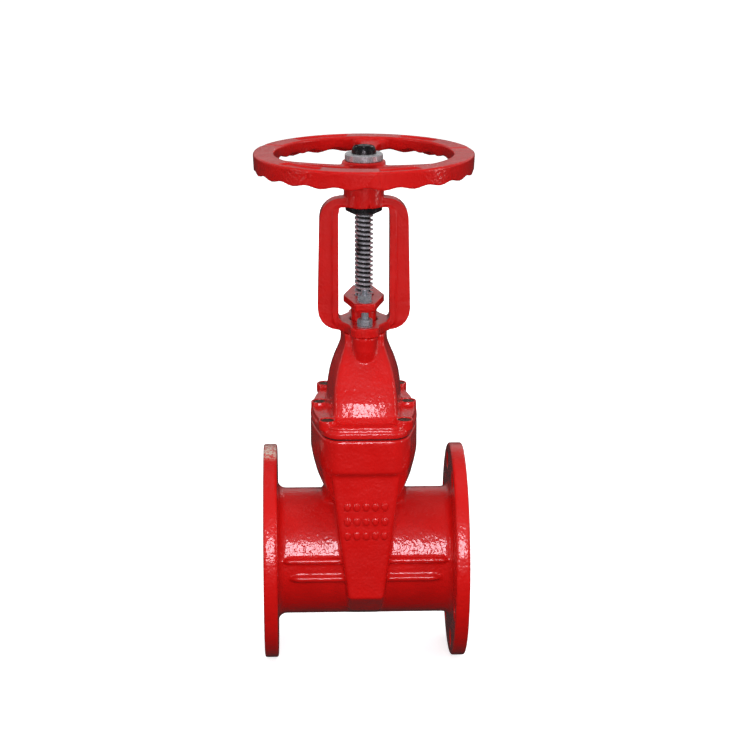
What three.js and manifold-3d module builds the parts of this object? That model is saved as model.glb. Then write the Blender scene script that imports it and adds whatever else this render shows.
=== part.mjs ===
// Flanged gate valve, DN 150 PN 16, with a rising stem, an outside yoke and a handwheel.
// Millimetres, +Z up. The pipe axis is X, and the stem and the handwheel turn about Z.
// Heights below are measured from the pipe axis; the exported group lifts them by the
// flange radius, so the valve's own origin is at the middle of its footprint.
// The valve is shown closed: the wedge is down and the stem is at its lowest.

import * as THREE from "three";
import { mergeVertices } from "three/addons/utils/BufferGeometryUtils.js";
import Module from "manifold-3d";

const wasm = await Module();
wasm.setup();

// ---------- driving dimensions ----------

const GAP = 0.3; // clearance between two touching pieces

// Pipe ends
const BORE_R = 75;
const BARREL_R = 84;
const FACE_TO_FACE = 267;
const FLANGE_R = 142.5;
const FLANGE_THICK = 19;
const SEAL_BAND_R = 105.5; // machined band that the pipe gasket bears on
const SEAL_BAND_H = 0.5;
const FLANGE_FILLET = 10;
const BOLT_COUNT = 8;
const BOLT_CIRCLE_R = 120;
const BOLT_HOLE_R = 11.5;

// Seam between body and bonnet
const BODY_TOP = 186.6;
const GASKET_THICK = 1;
const BONNET_BASE = BODY_TOP + GASKET_THICK + 2 * GAP;
const SEAM_HALF_X = 70;
const SEAM_HALF_Y = 108;
const SCREW_PLACES = [
  [49.5, 85],
  [58, 0],
  [49.5, -85],
  [-49.5, -85],
  [-58, 0],
  [-49.5, 85],
];
const SCREW_R = 5;
const SCREW_HEAD_R = 8;
const SCREW_HEAD_H = 10;
const SCREW_LENGTH = 32;
const COUNTERBORE_R = 8.8;
const SCREW_BOSS_R = 11.5;
const SCREW_BOSS_TOP = 209;
const SCREW_SUNK = 3.5; // depth of the screw's head below the top of its boss
const SCREW_SOCKET_R = 4.6;
const SCREW_SOCKET_H = 5;
const WAX_H = 1.8;
const SCREW_SEAT = SCREW_BOSS_TOP - SCREW_SUNK - SCREW_HEAD_H;

// Wedge and its travel
const LIFT = 153; // the wedge clears the bore when it is up
const WEDGE_R = BORE_R - GAP;
const WEDGE_CROWN = 84; // height of the wedge above the pipe axis
const WEDGE_HALF_LOW = 21; // half thickness at the bottom
const WEDGE_HALF_HIGH = 25; // half thickness at the crown
const RUBBER = 4;
const HEAD_HALF = 22; // block on the crown that holds the stem nut's T slot
const HEAD_TOP = 110;
const SLOT_LOW = 84;
const SLOT_HIGH = 100;
const SLOT_HALF_Y = 17;
const GUIDE_HALF_X = 9.5;
const GUIDE_Y = 88.5;

// Stem
const STEM_R = 12;
const STEM_CORE_R = 9;
const STEM_END_R = 10;
const STEM_TOP = 548.5;
const THREAD_LOW = 305;
const LEAD = 6; // single start, left hand
const COLLAR_R = 16; // collar that stops the stem under the bonnet
const COLLAR_H = 2.4;
const COLLAR_CONE = 2;

// Bonnet neck, stuffing box and gland
const BONNET_TOP = 307.5;
const BOX_R = 17.2;
const BOX_FLOOR = 274;
const CAVITY_ROOF = HEAD_TOP + LIFT + 5; // room for the wedge's head and the stem's collar
const BUSH_H = 5;
const PACKING_RINGS = 3;
const PACKING_H = 5.2;
const STUD_Y = 42;
const STUD_R = 5;
const STUD_LOW = 282;
const STUD_TOP = 368;
const LOBE_R = 17;
const YOKE_BASE_TOP = 320.5;
const GLAND_LOW = 340.5;
const GLAND_PLATE_LOW = 343.5;
const GLAND_TOP = 352.5;
const WASHER_R = 10;
const WASHER_H = 1.8;
const NUT_FLATS = 17;
const NUT_H = 8;

// Yoke
const ARM_OUT_LOW = 60;
const ARM_OUT_HIGH = 57;
const ARM_IN = 33;
const ARM_HALF_Y = 12;
const BAND_HALF_Y = 14.5; // the band round the window stands proud
const BAND_WIDE = 8;
const YOKE_LOW = 308.2;
const YOKE_TOP = 482.5;
const WINDOW_TOP = 467;
const YOKE_BOSS_R = 26;
const YOKE_BOSS_LOW = 470;
const YOKE_BOSS_TOP = 500;
const NOTCH = [2.2, 12, 6]; // mark cut in the boss's lower edge, at the front
const NOTCH_X = 6;

// Stem nut and what it carries
const NUT_FLANGE_R = 23.8;
const NUT_JOURNAL_R = 17.7;
const NUT_SEAT_R = 15.7;
const NUT_BORE_R = 12.4;
const THRUST_R = 22;
const THRUST_H = 1.5;
const LOCKNUT_R = 24.5;
const LOCKNUT_LOW = 529.3;
const LOCKNUT_TOP = 538.5;
const KEY_WIDE = 6;

// Handwheel
const WHEEL_R = 142;
const WHEEL_TOP = 539.8;
const RIM_WIDE = 27;
const RIM_TALL = 22;
const RIM_TALL_IN = 16; // the inner wall is shorter
const RIM_WALL = 5.5;
const RIM_LOBES = 22;
const LOBE_DEPTH = 1.6;
const SEGMENTS_PER_LOBE = 3;
const HUB_R = 28;
const HUB_LOW = YOKE_BOSS_TOP + THRUST_H + 2 * GAP;
const HUB_TOP = 529;
const SPOKES = 3;
const FIRST_SPOKE = THREE.MathUtils.degToRad(83.5);

const PIPE_ROUND = 40; // facets of the barrel, the bore and the flanges
const ROUND = 28; // facets of the other rounds
const SMALL_ROUND = 14; // facets of a fastener

// ---------- materials ----------

const paint = (color, roughness, metalness) =>
  new THREE.MeshStandardMaterial({ color, roughness, metalness });
const redPaint = paint(0xc8160f, 0.25, 0);
const steel = paint(0xb9bcc0, 0.3, 1);
const zinc = paint(0xaab2b8, 0.4, 1);
const iron = paint(0x4d4f52, 0.6, 0.5);
const blackSteel = paint(0x1e1e20, 0.45, 0.6);
const brass = paint(0xc39a4a, 0.35, 1);
const rubber = paint(0x1b1b1b, 0.8, 0);
const wax = paint(0x4a3022, 0.6, 0);
const graphite = paint(0x2d2d30, 0.6, 0.1);
const nylon = paint(0xe6e1d3, 0.5, 0);

// ---------- solids ----------

// A closed three.js geometry as a manifold solid whose faces point out.
function solid(geometry) {
  const bare = geometry.clone();
  bare.deleteAttribute("normal");
  bare.deleteAttribute("uv");
  const merged = mergeVertices(bare, 1e-4);
  const positions = new Float32Array(merged.attributes.position.array);
  const triangles = new Uint32Array(merged.index.array);
  const make = () =>
    new wasm.Manifold(
      new wasm.Mesh({ numProp: 3, vertProperties: positions, triVerts: triangles }),
    );
  const made = make();
  if (made.volume() > 0) return made;
  for (let i = 0; i < triangles.length; i += 3)
    [triangles[i + 1], triangles[i + 2]] = [triangles[i + 2], triangles[i + 1]];
  return make();
}

const join = (...solids) => solids.reduce((a, b) => a.add(b));
const cut = (from, ...tools) => tools.reduce((a, b) => a.subtract(b), from);

function mesh(name, made, material) {
  const { vertProperties, triVerts } = made.getMesh();
  const geometry = new THREE.BufferGeometry();
  geometry.setAttribute("position", new THREE.BufferAttribute(vertProperties, 3));
  geometry.setIndex(new THREE.BufferAttribute(triVerts, 1));
  geometry.computeVertexNormals();
  const piece = new THREE.Mesh(geometry, material);
  piece.name = name;
  return piece;
}

// A solid of revolution about Z from [radius, height] points that start and end on the axis.
function turned(points, segments = ROUND) {
  const profile = points.map(([r, z]) => new THREE.Vector2(r, z));
  return solid(new THREE.LatheGeometry(profile, segments).rotateX(Math.PI / 2));
}

// A round disc or rod about Z between two heights, moved to a place.
function rod(radius, low, high, segments = SMALL_ROUND, x = 0, y = 0) {
  const made = turned([[0, low], [radius, low], [radius, high], [0, high]], segments);
  return made.translate([x, y, 0]);
}

function tube(outer, inner, low, high, segments = ROUND) {
  return cut(rod(outer, low, high, segments), rod(inner, low - 1, high + 1, segments));
}

// An outline in X and Y, pulled up between two heights.
function pulled(shape, low, high, curveSegments = 2) {
  const options = { depth: high - low, bevelEnabled: false, curveSegments };
  return solid(new THREE.ExtrudeGeometry(shape, options).translate(0, 0, low));
}

// An outline in X and Z, made as thick as 2 half in Y.
function facing(shape, half, curveSegments = 6) {
  const options = { depth: 2 * half, bevelEnabled: false, curveSegments };
  const geometry = new THREE.ExtrudeGeometry(shape, options);
  return solid(geometry.translate(0, 0, -half).rotateX(Math.PI / 2));
}

// An outline in Y and Z, made as thick as 2 half in X.
function sideways(shape, half, curveSegments = 6) {
  return facing(shape, half, curveSegments).rotate([0, 0, 90]);
}

const block = (x, y, z, midX = 0, midY = 0, midZ = 0) =>
  solid(new THREE.BoxGeometry(x, y, z).translate(midX, midY, midZ));

const polygon = (points) => new THREE.Shape(points.map(([x, y]) => new THREE.Vector2(x, y)));

// A polygon with each corner rounded; points are [x, y, setback of the round].
function rounded(points) {
  const shape = new THREE.Shape();
  points.forEach(([x, y, setback], i) => {
    const corner = new THREE.Vector2(x, y);
    const towards = ([otherX, otherY]) => {
      const side = new THREE.Vector2(otherX, otherY).sub(corner);
      return side.setLength(Math.min(setback, 0.45 * side.length())).add(corner);
    };
    const from = towards(points.at(i - 1));
    const to = towards(points[(i + 1) % points.length]);
    if (i === 0) shape.moveTo(from.x, from.y);
    else shape.lineTo(from.x, from.y);
    shape.quadraticCurveTo(x, y, to.x, to.y);
  });
  shape.closePath();
  return shape;
}

// The same half outline on both sides of the X = 0 line; halfPoints run from bottom to top.
const mirrored = (halfPoints) => [
  ...halfPoints,
  ...halfPoints.toReversed().map(([x, ...rest]) => [-x, ...rest]),
];

// A skin through rings of equal point count, closed by a fan at each end.
function lofted(rings) {
  const count = rings[0].length;
  const points = rings.flat();
  const index = [];
  for (let k = 0; k + 1 < rings.length; k++)
    for (let i = 0; i < count; i++) {
      const a = k * count + i;
      const b = k * count + ((i + 1) % count);
      index.push(a, b, a + count, b, b + count, a + count);
    }
  [rings[0], rings.at(-1)].forEach((ring, end) => {
    const middle = new THREE.Vector3();
    ring.forEach((p) => middle.addScaledVector(p, 1 / count));
    const first = end ? (rings.length - 1) * count : 0;
    const hub = points.push(middle) - 1;
    for (let i = 0; i < count; i++) {
      const pair = [first + i, first + ((i + 1) % count)];
      index.push(hub, ...(end ? pair : pair.reverse()));
    }
  });
  const geometry = new THREE.BufferGeometry().setFromPoints(points);
  geometry.setIndex(index);
  return solid(geometry);
}

// Stacks one outline at several heights; levels are [height, half width, half length].
function stacked(outlineOf, levels) {
  return lofted(
    levels.map(([z, halfX, halfY]) =>
      outlineOf(halfX, halfY)
        .getPoints(2)
        .slice(0, -1)
        .map((p) => new THREE.Vector3(p.x, p.y, z)),
    ),
  );
}

// ---------- body ----------

// The outline of the seam between body and bonnet: long in Y, with cut and rounded corners.
function seamOutline(halfX, halfY) {
  const half = [
    [0.6 * halfX, -halfY, 12],
    [0.8 * halfX, -0.85 * halfY, 12],
    [halfX, -0.22 * halfY, 22],
    [halfX, 0.22 * halfY, 22],
    [0.8 * halfX, 0.85 * halfY, 12],
    [0.6 * halfX, halfY, 12],
  ];
  return rounded(mirrored(half));
}

// Barrel and both flanges, turned about the pipe axis.
function pipe() {
  const end = FACE_TO_FACE / 2;
  const rim = end - SEAL_BAND_H;
  const back = end - FLANGE_THICK;
  const half = [[SEAL_BAND_R, end], [SEAL_BAND_R, rim], [FLANGE_R, rim], [FLANGE_R, back]];
  const steps = 2;
  for (let i = 0; i <= steps; i++) {
    const turn = (i / steps) * (Math.PI / 2);
    const radius = BARREL_R + FLANGE_FILLET * (1 - Math.sin(turn));
    half.push([radius, back - FLANGE_FILLET * (1 - Math.cos(turn))]);
  }
  const other = half.toReversed().map(([r, x]) => [r, -x]);
  return turned([[0, end], ...half, ...other, [0, -end]], PIPE_ROUND).rotate([0, 90, 0]);
}

// The housing of the closed wedge, which crosses the barrel and narrows towards the bottom.
function pocket() {
  const side = [[30, -79], [60, -64], [100, -32], [100, 150]];
  const front = [[20, -90], [23.5, -32], [44, 133], [44, 150]];
  const inSide = sideways(polygon(mirrored(side)), 60);
  return inSide.intersect(facing(polygon(mirrored(front)), 110));
}

// The neck between the barrel and the seam.
function neck() {
  return stacked(seamOutline, [
    [70, 36, 76],
    [94, 50, 90],
    [105, 57, 96],
    [119, 63, 100],
    [133, 67, 103],
    [150, SEAM_HALF_X, 106],
    [BODY_TOP, SEAM_HALF_X, SEAM_HALF_Y],
  ]);
}

// Two flat ribs along the front and the back of the barrel, on both sides of the pocket.
function barrelRibs() {
  const ribs = [];
  for (const y of [-1, 1])
    for (const z of [15.5, -9]) ribs.push(block(226, 8, 7, 0, y * 85.5, z));
  return ribs;
}

// Clearance holes through both flanges, set off the vertical by half a division.
function flangeHoles() {
  const outside = FACE_TO_FACE / 2 + 1;
  const inside = FACE_TO_FACE / 2 - FLANGE_THICK - 1;
  const holes = [];
  for (let i = 0; i < BOLT_COUNT; i++) {
    const angle = ((i + 0.5) / BOLT_COUNT) * 2 * Math.PI;
    const y = BOLT_CIRCLE_R * Math.cos(angle);
    const z = BOLT_CIRCLE_R * Math.sin(angle);
    for (const [from, to] of [[-outside, -inside], [inside, outside]])
      holes.push(rod(BOLT_HOLE_R, from, to, SMALL_ROUND).rotate([0, 90, 0]).translate([0, y, z]));
  }
  return holes;
}

// The arc under the wedge, and its straight sides, as an outline in Y and Z.
function wedgeOutline(radius, crown) {
  const shape = new THREE.Shape();
  shape.absellipse(0, 0, radius, radius, Math.PI, 2 * Math.PI);
  shape.absellipse(0, 0, radius, crown, 0, Math.PI);
  return shape;
}

// A tapered slab in X and Z that the wedge and its slot share.
function taper(extra, low, high) {
  const slope = (WEDGE_HALF_HIGH - WEDGE_HALF_LOW) / (WEDGE_CROWN + WEDGE_R);
  const halfAt = (z) => WEDGE_HALF_LOW + slope * (z + WEDGE_R) + extra;
  return facing(polygon(mirrored([[halfAt(low), low], [halfAt(high), high]])), 100);
}

function bodyHollow() {
  const bore = rod(BORE_R, -FACE_TO_FACE, FACE_TO_FACE, PIPE_ROUND).rotate([0, 90, 0]);
  const side = new THREE.Shape();
  side.absarc(0, 0, BORE_R, Math.PI, 2 * Math.PI);
  side.lineTo(BORE_R, 30);
  side.lineTo(80, 60);
  side.lineTo(80, 200);
  side.lineTo(-80, 200);
  side.lineTo(-80, 60);
  side.lineTo(-BORE_R, 30);
  side.closePath();
  const slot = sideways(side, 40).intersect(taper(0.4, -80, 200));
  const above = block(64, 160, 80, 0, 0, 160);
  const guides = block(2 * GUIDE_HALF_X, 2 * GUIDE_Y, 220, 0, 0, 96);
  return [bore, slot, above, guides];
}

function body() {
  const casting = join(pipe(), pocket(), neck(), ...barrelRibs());
  const threaded = SCREW_PLACES.map(([x, y]) => rod(SCREW_R + GAP, 170, 200, 8, x, y));
  return mesh("body", cut(casting, ...bodyHollow(), ...flangeHoles(), ...threaded), redPaint);
}

function bonnetGasket() {
  const low = BODY_TOP + GAP;
  const outer = pulled(seamOutline(SEAM_HALF_X - 2, SEAM_HALF_Y - 2), low, low + GASKET_THICK);
  const inner = block(66, 182, 10, 0, 0, low);
  const holes = SCREW_PLACES.map(([x, y]) => rod(SCREW_R + 1, low - 1, low + 3, 8, x, y));
  return mesh("bonnet_gasket", cut(outer, inner, ...holes), rubber);
}

// ---------- bonnet ----------

// A rounded rectangle that bulges a little at the sides, as the bonnet does.
function bonnetOutline(halfX, halfY) {
  const half = [
    [0.8 * halfX, -halfY, 0.2 * halfX],
    [halfX, -0.15 * halfY, 0.3 * halfX],
    [halfX, 0.15 * halfY, 0.3 * halfX],
    [0.8 * halfX, halfY, 0.2 * halfX],
  ];
  return rounded(mirrored(half));
}

function bonnetDome() {
  return stacked(bonnetOutline, [
    [192, 50, 84],
    [206, 49.5, 81],
    [225, 49, 73],
    [250, 46, 62],
    [270, 40, 51],
    [284, 34, 42],
    [296, 30.5, 36],
    [BONNET_TOP, 30.5, 35],
  ]);
}

// Boss for one stud on the bonnet's neck, which runs out into the slope below it.
function neckLobe(side) {
  const ring = (z, radius, y) =>
    Array.from({ length: SMALL_ROUND }, (_, i) => {
      const a = (i / SMALL_ROUND) * 2 * Math.PI;
      return new THREE.Vector3(radius * Math.cos(a), side * y + radius * Math.sin(a), z);
    });
  return lofted([ring(268, 9, 36), ring(288, 16, STUD_Y - 1), ring(BONNET_TOP, LOBE_R, STUD_Y)]);
}

function bonnetHollow() {
  const side = [[88, 180], [80, 188], [78, 200], [66, 216], [52, 234], [34, 253], [28, CAVITY_ROOF]];
  const front = [[36, 180], [36, 225], [26, CAVITY_ROOF]];
  const cavity = sideways(polygon(mirrored(side)), 60).intersect(
    facing(polygon(mirrored(front)), 110),
  );
  const guides = block(2 * GUIDE_HALF_X, 2 * GUIDE_Y, 40, 0, 0, 180);
  const box = rod(BOX_R, BOX_FLOOR, 320, ROUND);
  const stemWay = rod(STEM_R + 0.6, 260, 290, ROUND);
  return [cavity, guides, box, stemWay];
}

function bonnet() {
  const lip = pulled(seamOutline(SEAM_HALF_X, SEAM_HALF_Y), BONNET_BASE, 196);
  const plate = pulled(seamOutline(SEAM_HALF_X - 1.5, SEAM_HALF_Y - 1.5), 195, 204);
  const bosses = SCREW_PLACES.map(([x, y]) => rod(SCREW_BOSS_R, 196, SCREW_BOSS_TOP, 18, x, y));
  const casting = join(lip, plate, bonnetDome(), ...bosses, neckLobe(1), neckLobe(-1));
  const screwWays = SCREW_PLACES.flatMap(([x, y]) => [
    rod(SCREW_R + 0.5, 180, 220, 8, x, y),
    rod(COUNTERBORE_R, SCREW_SEAT, 250, 18, x, y),
  ]);
  const studWays = [-1, 1].map((s) => rod(STUD_R + GAP, STUD_LOW - 1, 320, 16, 0, s * STUD_Y));
  return mesh("bonnet", cut(casting, ...bonnetHollow(), ...screwWays, ...studWays), redPaint);
}

// Socket head screw, its head sunk in the boss.
function bonnetScrew(number, [x, y]) {
  const seat = SCREW_SEAT + GAP;
  const top = seat + SCREW_HEAD_H;
  const head = rod(SCREW_HEAD_R, seat, top, 18);
  const shank = rod(SCREW_R, top - SCREW_LENGTH, seat + 1, 8);
  const socket = rod(SCREW_SOCKET_R, top - SCREW_SOCKET_H, top + 1, 6);
  const made = cut(join(head, shank), socket).translate([x, y, 0]);
  return mesh(`bonnet_screw_${number}`, made, zinc);
}

// Wax that fills the counterbore over the screw head.
function waxPlug(number, [x, y]) {
  const low = SCREW_BOSS_TOP - SCREW_SUNK + 2 * GAP;
  return mesh(`wax_plug_${number}`, rod(COUNTERBORE_R - GAP, low, low + WAX_H, 18, x, y), wax);
}

// ---------- stuffing box and gland ----------

function backseatBush() {
  const low = BOX_FLOOR + GAP;
  return mesh("backseat_bush", tube(BOX_R - GAP, STEM_R + GAP, low, low + BUSH_H), brass);
}

function packingRing(number) {
  const low = BOX_FLOOR + GAP + BUSH_H + GAP + (number - 1) * (PACKING_H + GAP);
  const made = tube(BOX_R - GAP, STEM_R + GAP, low, low + PACKING_H);
  return mesh(`packing_ring_${number}`, made, graphite);
}

function glandFlange() {
  const plate = [[12.5, -54, 3], [27, 0, 3], [12.5, 54, 3]];
  const bar = [[16.5, -36, 10], [16.5, 36, 10], [11, 51, 6]];
  const tip = BOX_FLOOR + 2 * GAP + BUSH_H + PACKING_RINGS * (PACKING_H + GAP);
  const made = join(
    pulled(rounded(mirrored(plate)), GLAND_PLATE_LOW, GLAND_TOP),
    pulled(rounded(mirrored([[11, -51, 6], ...bar])), GLAND_LOW, GLAND_PLATE_LOW + 1),
    rod(BOX_R - 0.5, tip, GLAND_LOW + 1, ROUND),
  );
  const studWays = [-1, 1].map((s) => rod(STUD_R + 0.6, 330, 360, 16, 0, s * STUD_Y));
  return mesh("gland_flange", cut(made, rod(STEM_R + 0.6, 280, 360, ROUND), ...studWays), redPaint);
}

const ends = [["front", -1], ["rear", 1]];

function stud([end, side]) {
  const tip = STUD_TOP - 1.5;
  const profile = [[0, STUD_LOW], [STUD_R, STUD_LOW], [STUD_R, tip], [3.8, STUD_TOP], [0, STUD_TOP]];
  return mesh(`stud_${end}`, turned(profile, 16).translate([0, side * STUD_Y, 0]), zinc);
}

function washer(name, side, low) {
  const made = tube(WASHER_R, STUD_R + GAP, low, low + WASHER_H, SMALL_ROUND);
  return mesh(name, made.translate([0, side * STUD_Y, 0]), zinc);
}

// Hexagon nut with its top corners chamfered; turn is its angle about the stud in degrees.
function hexNut(name, side, low, turn) {
  const corner = NUT_FLATS / Math.sqrt(3);
  const hex = rod(corner, low, low + NUT_H, 6).rotate([0, 0, turn]);
  const top = low + NUT_H;
  const cap = turned([[0, low], [corner, low], [corner, top - 1.2], [NUT_FLATS / 2, top], [0, top]], 24);
  const made = cut(hex.intersect(cap), rod(STUD_R + GAP, low - 1, top + 1, 16));
  return mesh(name, made.translate([0, side * STUD_Y, 0]), zinc);
}

function fastenersOf([end, side]) {
  const base = YOKE_BASE_TOP + GAP;
  const gland = GLAND_TOP + GAP;
  return [
    washer(`yoke_washer_${end}`, side, base),
    hexNut(`yoke_nut_${end}`, side, base + WASHER_H + GAP, 0),
    washer(`gland_washer_${end}`, side, gland),
    hexNut(`gland_nut_${end}`, side, gland + WASHER_H + GAP, 20),
  ];
}

// ---------- yoke ----------

function yokeFrame() {
  const outer = [
    [ARM_OUT_LOW, YOKE_LOW, 30],
    [ARM_OUT_LOW, 345, 5],
    [ARM_OUT_HIGH, YOKE_TOP - 3, 26],
    [20, YOKE_TOP, 2],
  ];
  const windowOf = (grow) => [
    [ARM_IN + grow, YOKE_BASE_TOP - grow, 6 + grow / 2],
    [ARM_IN + grow, WINDOW_TOP + grow * 0.6, 6 + grow / 2],
  ];
  const frame = facing(rounded(mirrored(outer)), ARM_HALF_Y);
  const band = facing(rounded(mirrored(windowOf(BAND_WIDE))), BAND_HALF_Y);
  return cut(join(frame, band), facing(rounded(mirrored(windowOf(0))), 30));
}

// Foot plate with one lobe round each stud, joined to the arms by a slanting web.
function yokeFoot() {
  const plan = [
    [10, -(STUD_Y + LOBE_R), 8],
    [18, -STUD_Y, 12],
    [34, -ARM_HALF_Y, 4],
    [34, ARM_HALF_Y, 4],
    [18, STUD_Y, 12],
    [10, STUD_Y + LOBE_R, 8],
  ];
  return pulled(rounded(mirrored(plan)), BONNET_TOP + GAP, YOKE_BASE_TOP);
}

function yoke() {
  const boss = rod(YOKE_BOSS_R, YOKE_BOSS_LOW, YOKE_BOSS_TOP, ROUND);
  const bar = block(60, 2 * ARM_HALF_Y, YOKE_TOP - WINDOW_TOP - 3, 0, 0, (WINDOW_TOP + YOKE_TOP) / 2);
  const casting = join(yokeFrame(), yokeFoot(), bar, boss);
  const belowFoot = block(200, 100, 20, 0, 0, BONNET_TOP + GAP - 10);
  const notch = block(...NOTCH, NOTCH_X, -YOKE_BOSS_R, YOKE_BOSS_LOW);
  const underBoss = block(2 * ARM_IN - 2, 60, 40, 0, 0, YOKE_BOSS_LOW - 20);
  return mesh(
    "yoke",
    cut(
      casting,
      belowFoot,
      notch,
      underBoss,
      rod(NUT_JOURNAL_R + GAP, 440, 520, ROUND),
      rod(THRUST_R + 0.5, 440, YOKE_BOSS_LOW + THRUST_H, ROUND),
      rod(BOX_R + 0.8, 300, 340, ROUND),
      ...[-1, 1].map((s) => rod(STUD_R + 0.6, 300, 340, 16, 0, s * STUD_Y)),
    ),
    redPaint,
  );
}

// ---------- stem and wedge ----------

// A left-hand trapezoidal thread as one helical skin, closed to a point beyond each end.
function threadBlank(low, high) {
  const perTurn = 9;
  const profile = [
    [0, STEM_CORE_R],
    [0.3, STEM_R],
    [0.7, STEM_R],
  ];
  const turns = Math.ceil((high - low) / LEAD) + 2;
  const points = [];
  for (let i = 0; i <= turns * perTurn; i++) {
    const angle = (-2 * Math.PI * i) / perTurn;
    for (const [part, radius] of profile)
      points.push(
        new THREE.Vector3(
          radius * Math.cos(angle),
          radius * Math.sin(angle),
          low - LEAD + (i / perTurn + part) * LEAD,
        ),
      );
  }
  const rows = profile.length;
  const at = (i, k) => (k < rows ? i * rows + k : (i + perTurn) * rows + k - rows);
  const last = (turns - 1) * perTurn;
  const index = [];
  for (let i = 0; i < last; i++)
    for (let k = 0; k < rows; k++) {
      const [a, b, c, d] = [at(i, k), at(i, k + 1), at(i + 1, k), at(i + 1, k + 1)];
      index.push(a, b, c, b, d, c);
    }
  const bottom = points.push(new THREE.Vector3(0, 0, low - 3 * LEAD)) - 1;
  const top = points.push(new THREE.Vector3(0, 0, high + 4 * LEAD)) - 1;
  for (let i = 0; i < perTurn; i++) {
    index.push(bottom, at(i, 0), at(i + 1, 0));
    index.push(top, at(last + i + 1, 0), at(last + i, 0));
  }
  for (let k = 0; k < rows; k++) {
    index.push(bottom, at(0, k + 1), at(0, k));
    index.push(top, at(last, k), at(last, k + 1));
  }
  const geometry = new THREE.BufferGeometry().setFromPoints(points);
  geometry.setIndex(index);
  return solid(geometry);
}

function stem() {
  const shank = turned([
    [0, SLOT_LOW + 2 * GAP],
    [STEM_END_R, SLOT_LOW + 2 * GAP],
    [STEM_END_R, SLOT_HIGH],
    [STEM_R, SLOT_HIGH],
    [STEM_R, HEAD_TOP + GAP],
    [COLLAR_R, HEAD_TOP + GAP],
    [COLLAR_R, HEAD_TOP + GAP + COLLAR_H],
    [STEM_R, HEAD_TOP + GAP + COLLAR_H + COLLAR_CONE],
    [STEM_R, THREAD_LOW],
    [STEM_CORE_R, THREAD_LOW + 3],
    [0, THREAD_LOW + 3],
  ], 24);
  const envelope = turned([
    [0, THREAD_LOW],
    [STEM_R + 1, THREAD_LOW],
    [STEM_R + 1, STEM_TOP - 5],
    [7, STEM_TOP],
    [0, STEM_TOP],
  ], 24);
  const thread = threadBlank(THREAD_LOW, STEM_TOP).intersect(envelope);
  const centre = rod(2.5, STEM_TOP - 6, STEM_TOP + 1, 10);
  return mesh("stem", cut(join(shank, thread), centre), steel);
}

function wedgeHead(grow) {
  return block(2 * (WEDGE_HALF_LOW - 1 + grow), 2 * (HEAD_HALF + grow), 40, 0, 0, HEAD_TOP - 20);
}

function wedgeCore() {
  const slab = sideways(wedgeOutline(WEDGE_R - RUBBER - GAP, WEDGE_CROWN - RUBBER - GAP), 40, 16);
  const core = join(slab.intersect(taper(-RUBBER - GAP, -90, 100)), wedgeHead(0));
  const slot = block(80, 2 * SLOT_HALF_Y, SLOT_HIGH - SLOT_LOW, 0, 0, (SLOT_LOW + SLOT_HIGH) / 2);
  const mouth = block(80, 2 * (STEM_R + 0.6), 20, 0, 0, SLOT_HIGH + 9);
  return mesh("wedge_core", cut(core, slot, mouth), iron);
}

function wedgeRubber() {
  const outer = sideways(wedgeOutline(WEDGE_R, WEDGE_CROWN), 40, 16).intersect(taper(0, -90, 100));
  const inner = sideways(wedgeOutline(WEDGE_R - RUBBER, WEDGE_CROWN - RUBBER), 40, 16);
  const hollow = inner.intersect(taper(-RUBBER, -90, 100));
  const opening = block(60, 2 * (HEAD_HALF + GAP), 30, 0, 0, WEDGE_CROWN + 4);
  return mesh("wedge_rubber", cut(outer, hollow, opening), rubber);
}

// Shoe that keeps the wedge square in the body's guide groove.
function guideShoe([end, side]) {
  const width = 2 * (GUIDE_HALF_X - 0.6);
  const low = WEDGE_R + GAP;
  const high = GUIDE_Y - 0.5;
  return mesh(`guide_shoe_${end}`, block(width, high - low, 50, 0, (side * (low + high)) / 2, 15), nylon);
}

function wedgeNut() {
  const height = SLOT_HIGH - SLOT_LOW - 2 * GAP;
  const made = block(28, 2 * (SLOT_HALF_Y - GAP), height, 0, 0, (SLOT_LOW + SLOT_HIGH) / 2);
  return mesh("wedge_nut", cut(made, rod(STEM_END_R + GAP, 70, 110, 24)), brass);
}

// ---------- stem nut and handwheel ----------

function keyway(width, depth, low, high) {
  return block(width, depth, high - low, 0, NUT_SEAT_R, (low + high) / 2);
}

function stemNut() {
  const made = turned([
    [0, 459.5],
    [13.5, 459.5],
    [NUT_FLANGE_R, 464.8],
    [NUT_FLANGE_R, YOKE_BOSS_LOW - GAP],
    [NUT_JOURNAL_R, YOKE_BOSS_LOW - GAP],
    [NUT_JOURNAL_R, YOKE_BOSS_TOP],
    [NUT_SEAT_R, YOKE_BOSS_TOP],
    [NUT_SEAT_R, 543],
    [13.4, 547.5],
    [0, 547.5],
  ]);
  const slot = keyway(KEY_WIDE + 2 * GAP, 6, 504, 524);
  return mesh("stem_nut", cut(made, rod(NUT_BORE_R, 450, 560, ROUND), slot), blackSteel);
}

function thrustWashers() {
  const low = YOKE_BOSS_LOW;
  const high = YOKE_BOSS_TOP + GAP;
  const bore = NUT_JOURNAL_R + GAP;
  return [
    mesh("thrust_washer_lower", tube(THRUST_R, bore, low, low + THRUST_H - GAP), brass),
    mesh("thrust_washer_upper", tube(THRUST_R, NUT_SEAT_R + GAP, high, high + THRUST_H), brass),
  ];
}

function wheelKey() {
  return mesh("wheel_key", keyway(KEY_WIDE, 6 - 2 * GAP, 504.5, 523.5), steel);
}

function wheelLocknut() {
  const top = LOCKNUT_TOP;
  const profile = [
    [0, LOCKNUT_LOW],
    [LOCKNUT_R, LOCKNUT_LOW],
    [LOCKNUT_R, top - 0.8],
    [LOCKNUT_R - 0.8, top],
    [0, top],
  ];
  return mesh("wheel_locknut", cut(turned(profile), rod(NUT_SEAT_R + GAP, 520, 550, ROUND)), steel);
}

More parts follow.
